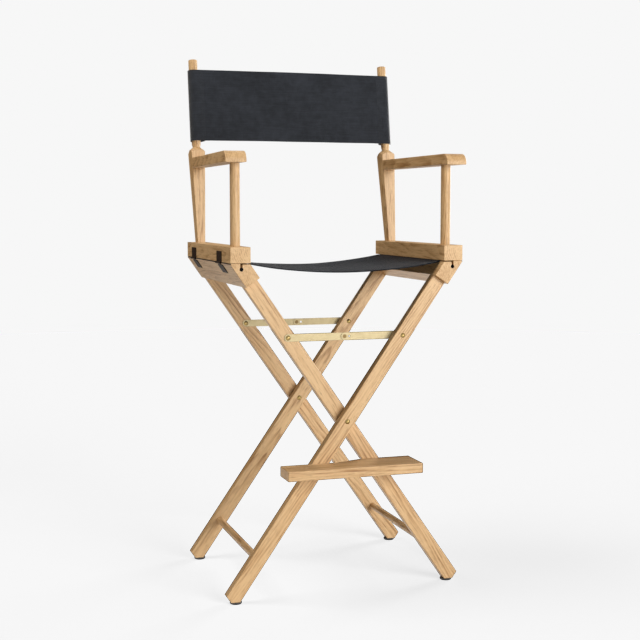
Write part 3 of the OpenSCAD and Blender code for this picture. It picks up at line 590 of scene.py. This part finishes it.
# Height of the middle of the cloth where it lies on the rails, and how far the seat hangs below it
lie_z = cloth_high.z - CLOTH / 2
sag = lie_z - cloth_low.z - CLOTH / 2
inner_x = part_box("arm_rail_right")[0].x
SEAT_FRONT, SEAT_BACK = cloth_low.y, cloth_high.y
SEAT_HEM = 0.016
LOOP = rod_radius + 0.0001 + CLOTH / 2


def distances(line):
    """How far along a line of points each of them is."""
    ways = [0.0]
    for (x0, y0), (x1, y1) in zip(line, line[1:]):
        ways.append(ways[-1] + math.hypot(x1 - x0, y1 - y0))
    return ways


def half_section():
    """The cloth's line from the end of its hem loop round the right rod to the middle of the seat,
    as points (x, z), and how far along it each one is."""
    points = []
    for step in range(15):
        angle = math.radians(115 - 320 * step / 14)
        points.append((rod.x + LOOP * math.cos(angle), rod.z + LOOP * math.sin(angle)))
    neck = rod.x - CLOTH / 2
    for z in (rod.z + LOOP * 1.1, (rod.z + lie_z) / 2, lie_z - 0.0016):
        points.append((neck, z))
    points.append((neck - 0.0005, lie_z - 0.0005))
    points.append((neck - 0.0020, lie_z))
    points.append(((neck + inner_x) / 2, lie_z))
    for step in range(33):
        share = 1 - step / 32
        points.append((inner_x * share, lie_z - sag * (1 - share * share)))
    return points, distances(points)


section, ways = half_section()
HALF = ways[-1]
# How far along its line the cloth comes out between the arm rails
inner_way = ways[next(index for index, point in enumerate(section) if point[0] == inner_x)] + 0.004
SEAT_CLOTH = CLOTH * 0.95


def on_line(line, ways, way):
    """The point at a distance along a line of points, whose distances are ways."""
    for index in range(len(ways) - 1):
        if way <= ways[index + 1] or index == len(ways) - 2:
            share = (way - ways[index]) / (ways[index + 1] - ways[index])
            x0, y0 = line[index]
            x1, y1 = line[index + 1]
            return x0 + (x1 - x0) * share, y0 + (y1 - y0) * share


def seat_shape(s, t):
    """Points spread evenly along the cloth's line. The open seat hangs with slight ripples and
    droops a little at its front and back edges."""
    x, z = on_line(section, ways, HALF * (1 - abs(s - 0.5) * 2))
    side = 1 if s > 0.5 else -1
    y = SEAT_FRONT + (SEAT_BACK - SEAT_FRONT) * t
    free = max(0.0, 1 - (abs(x) / inner_x) ** 4) if abs(x) < inner_x else 0.0
    edge = min(t, 1 - t)
    droop = 0.0016 * math.exp(-edge / 0.05)
    ripple = noise.noise(Vector((x * 9 * side + 4.0, y * 7, 1.7))) * 0.0011
    fold = (seat_hem(s, t) - 0.5) * SEAT_CLOTH
    return Vector((x * side, y, z - free * (droop + ripple) - fold))


def seat_hem(s, t):
    """0.5 where the cloth is single, and 1 in the folds along its front and back edges."""
    edge = min(t, 1 - t) * (SEAT_BACK - SEAT_FRONT)
    way = HALF * (1 - abs(s - 0.5) * 2)
    return 1.0 if edge < SEAT_HEM and way > inner_way else 0.5


seat_flat = (2 * HALF, SEAT_BACK - SEAT_FRONT)
seat = sheet_mesh("seat_canvas_sheet", 300, 100, seat_shape)
thicken(seat, SEAT_CLOTH, seat_hem)
seat.data.materials.append(woven("canvas_seat", *seat_flat, 0.03, 0.09))
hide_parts("seat_canvas")
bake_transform(seat)

thread_black = Finish("thread_dark", Base_Color=rgb(0.016, 0.017, 0.020), Roughness=0.6).material
rows = []
hem_t = (SEAT_HEM - 0.003) / (SEAT_BACK - SEAT_FRONT)
first_s = inner_way / (2 * HALF) + 0.004
for t in (hem_t, 1 - hem_t):
    rows += row_on(seat_shape, (first_s, t), (1 - first_s, t), round(2 * inner_x / STITCH))
seat_stitches = stitch_rows("seat_canvas_stitches", rows, None, thread_black)
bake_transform(seat_stitches)


# ---- Back canvas --------------------------------------------------------------------------
# The same canvas across the front of the two posts. Each end wraps round its post, comes back
# behind the panel and is stitched to it twice, which makes a sleeve that slips over the post.

cloth_low, cloth_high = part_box("back_canvas")
post_x = middle("front_post_right").x
up = Vector((0, math.sin(rake), math.cos(rake)))
ahead = Vector((0, -math.cos(rake), math.sin(rake)))
# Radius of a sleeve to the middle of its cloth, and to its outside
SLEEVE = cloth_high.x - post_x - CLOTH / 2
sleeve_out = SLEEVE + CLOTH / 2
back_length = ((cloth_high.z - cloth_low.z) - 2 * sleeve_out * math.sin(rake)) / math.cos(rake)
# The lower end of the sleeves' axis: the sleeve's back edge is the lowest point of the cloth.
foot = Vector((0, cloth_low.y + sleeve_out * math.cos(rake), cloth_low.z + sleeve_out * math.sin(rake)))
# From the post's middle line in to the seam, on to the flap's end, and back from the panel's cloth
SEAM_IN = 0.022
FLAP = 0.010
BEHIND = CLOTH * 2.3
seam_x = post_x - SEAM_IN


def back_point(x, out, t):
    """A place on the back: x across, out in front of the posts' middle line, t up the sleeve."""
    return Vector((x, 0, 0)) + foot + up * (back_length * t) + ahead * out


def sleeve_section():
    """Line of the right sleeve as (x, out): panel, round the post, and back to the panel's rear."""
    line = [(seam_x + SEAM_IN * step / 3, SLEEVE) for step in range(3)]
    for step in range(29):
        angle = math.radians(90 - 228 * step / 28)
        line.append((post_x + SLEEVE * math.cos(angle), SLEEVE * math.sin(angle)))
    last = line[-1]
    target = (seam_x + 0.001, SLEEVE - BEHIND)
    for step in range(1, 11):
        share = step / 10
        bow = math.sin(share * math.pi) * 0.0010
        ease = share * share * (3 - 2 * share)
        line.append((last[0] + (target[0] - last[0]) * math.sin(share * math.pi / 2) - bow,
                     last[1] + (target[1] - last[1]) * (0.5 * share + 0.5 * ease)))
    line.append((seam_x - FLAP, SLEEVE - BEHIND))
    return line, distances(line)


sleeve_line, sleeve_ways = sleeve_section()
SLEEVE_CUT = sleeve_ways[-1]


def back_wave(x, t):
    """How far the stretched panel swells forward, in soft slanting folds."""
    free = max(0.0, 1 - abs(x / seam_x) ** 3)
    swell = 0.5 + noise.noise(Vector((x * 8.0 - t * 0.5, t * 1.2 + x * 2.5, 5.3)))
    return free * max(0.0, swell) * 0.0038


def sleeve_shape(side):
    """The sleeve on one side, a little slack beyond its seam."""
    def shape(s, t):
        x, out = on_line(sleeve_line, sleeve_ways, s * SLEEVE_CUT)
        slack = noise.noise(Vector((s * 3, t * 3.0, side * 4.0))) * 0.0004
        return back_point(side * x, out + slack * (s > 0.12), t)
    return shape


BACK_HEM = 0.0125


def back_hem(s, t):
    """0.5 where the panel is single, and 1 in the folds along its upper and lower edges."""
    return 1.0 if min(t, 1 - t) * back_length < BACK_HEM else 0.5


def panel_shape(s, t):
    """The panel's middle surface: its front stays flush where the hems are folded to the back."""
    x = (s * 2 - 1) * seam_x
    return back_point(x, SLEEVE + back_wave(x, t) - (back_hem(s, t) - 0.5) * CLOTH, t)


def outwards(piece):
    """Turns a sheet's faces so that its front is the side that shows."""
    only(piece)
    bpy.ops.object.mode_set(mode="EDIT")
    bpy.ops.mesh.select_all(action="SELECT")
    bpy.ops.mesh.flip_normals()
    bpy.ops.object.mode_set(mode="OBJECT")


panel_flat = (2 * seam_x, back_length)
sleeve_flat = (SLEEVE_CUT, back_length)
canvas_back = woven("canvas_back", *panel_flat, 0.14, 0.35)
canvas_sleeve = woven("canvas_sleeve", *sleeve_flat, 0.14, 1.0)
panel = sheet_mesh("back_canvas_panel", 120, 56, panel_shape)
thicken(panel, CLOTH, back_hem)
panel.data.materials.append(canvas_back)
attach(panel, "arm_right")
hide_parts("back_canvas")
for side, name in ((1, "right"), (-1, "left")):
    sleeve = sheet_mesh("back_canvas_sleeve_" + name, 90, 40, sleeve_shape(side))
    if side < 0:
        outwards(sleeve)
    thicken(sleeve, CLOTH, lambda s, t: 0.5)
    sleeve.data.materials.append(canvas_sleeve)
    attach(sleeve, "arm_" + name)

rows = []
hem_t = (BACK_HEM - 0.0025) / back_length
for t in (hem_t, 1 - hem_t):
    rows += row_on(panel_shape, (0.004, t), (0.996, t), round(2 * seam_x / STITCH))
panel_stitches = stitch_rows("back_canvas_hem_stitches", rows, "arm_right", thread_black)
for side, name in ((1, "right"), (-1, "left")):
    rows = []
    for inset in (0.0015, 0.0065):
        s = inset / SLEEVE_CUT
        rows += row_on(sleeve_shape(side), (s, 0.01), (s, 0.99), round(back_length / STITCH))
    stitch_rows("back_canvas_seam_" + name, rows, "arm_" + name, thread_black)

# As the chair folds, the posts close up. The panel and its hem stitches each get a mesh of their own.
for piece in (panel, panel_stitches):
    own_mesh(piece)


# ---- Floor, light and camera --------------------------------------------------------------
# A pale floor that runs into a pale backdrop. One large soft lamp stands in front on the right, a
# warm one hangs above on the left and a small one shines from behind on the right, in a dim room
# that looks pale itself.

def sight(finish):
    """Which rays see the stage directly, in a shiny surface, and through a clear one."""
    return (finish.add("ShaderNodeLightPath", {}, {}, "Is %s Ray" % kind)
            for kind in ("Camera", "Glossy", "Transmission"))


FLOOR_GLOW = 1.5
FLOOR_IN_SHINE = 0.4
floor_finish = Finish("floor_pale", Roughness=0.9, Base_Color=rgb(0.85, 0.85, 0.85),
                      Specular_IOR_Level=0.0, Emission_Strength=FLOOR_GLOW)
direct, shiny, clear = sight(floor_finish)
seen = direct + (shiny + clear) * FLOOR_IN_SHINE
floor_finish.set(Emission_Color=floor_finish.mix(seen, rgb(0, 0, 0), rgb(1, 1, 1)))
bpy.ops.object.select_all(action="DESELECT")
bpy.ops.mesh.primitive_circle_add(vertices=96, radius=6, fill_type="NGON", location=(0, 0, 0))
floor = bpy.context.object
floor.name = "floor"
floor.data.materials.append(floor_finish.material)
floor.is_shadow_catcher = True

ROOM_LIGHT = 0.03
ROOM_SEEN = 0.93
world = bpy.data.worlds.new("room")
room = Finish("room", world, "Background", Color=rgb(1, 1, 1))
direct, shiny, clear = sight(room)
room.set(Strength=room.spread(direct + shiny + clear, 0.0, 1.0, ROOM_LIGHT, ROOM_SEEN))
bpy.context.scene.world = world


CHAIR_MIDDLE = Vector((0, 0, 0.65))


def lamp(name, place, size, power, colour=(1, 1, 1)):
    """A round soft lamp that points at the chair."""
    data = bpy.data.lights.new(name, "AREA")
    data.color = colour
    data.shape = "DISK"
    data.size = size
    data.energy = power
    lamp_object = bpy.data.objects.new(name, data)
    bpy.context.scene.collection.objects.link(lamp_object)
    lamp_object.location = place
    lamp_object.rotation_euler = (CHAIR_MIDDLE - Vector(place)).to_track_quat("-Z", "Y").to_euler()


lamp("key", (2.4, -5.0, 1.9), 3.6, 318)
lamp("fill", (-1.4, 0.3, 2.9), 2.0, 47, (1.0, 0.93, 0.84))
lamp("rim", (2.4, 1.3, 1.3), 1.2, 34)

# A black cloth hangs behind the chair, out of sight, and shows only in what shiny surfaces reflect.
cloth_finish = Finish("stage_black", Roughness=1.0, Base_Color=rgb(0.01, 0.01, 0.01),
                      Specular_IOR_Level=0.0)
bpy.ops.mesh.primitive_plane_add(size=1, location=(-0.5, 2.7, 0.9),
                                 rotation=(math.pi / 2, 0, math.radians(12)))
black_cloth = bpy.context.object
black_cloth.name = "black_cloth"
black_cloth.scale = (7.0, 3.6, 1)
black_cloth.data.materials.append(cloth_finish.material)
black_cloth.visible_camera = False
black_cloth.visible_diffuse = False
black_cloth.visible_shadow = False
black_cloth.visible_transmission = False

# The camera stands in front on the left, a little under the armrests, and looks just below the
# middle of the chair.
low, high = cad_box
camera_data = bpy.data.cameras.new("camera")
camera_data.lens = 69.6
camera = bpy.data.objects.new("camera", camera_data)
bpy.context.scene.collection.objects.link(camera)
camera.location = (-0.9018, -2.8000, 0.8727)
aim = Vector((0.0, 0.0, (low.z + high.z) / 2 - 0.012))
camera.rotation_euler = (aim - camera.location).to_track_quat("-Z", "Y").to_euler()
bpy.context.scene.camera = camera
bpy.context.scene.view_settings.view_transform = "Standard"
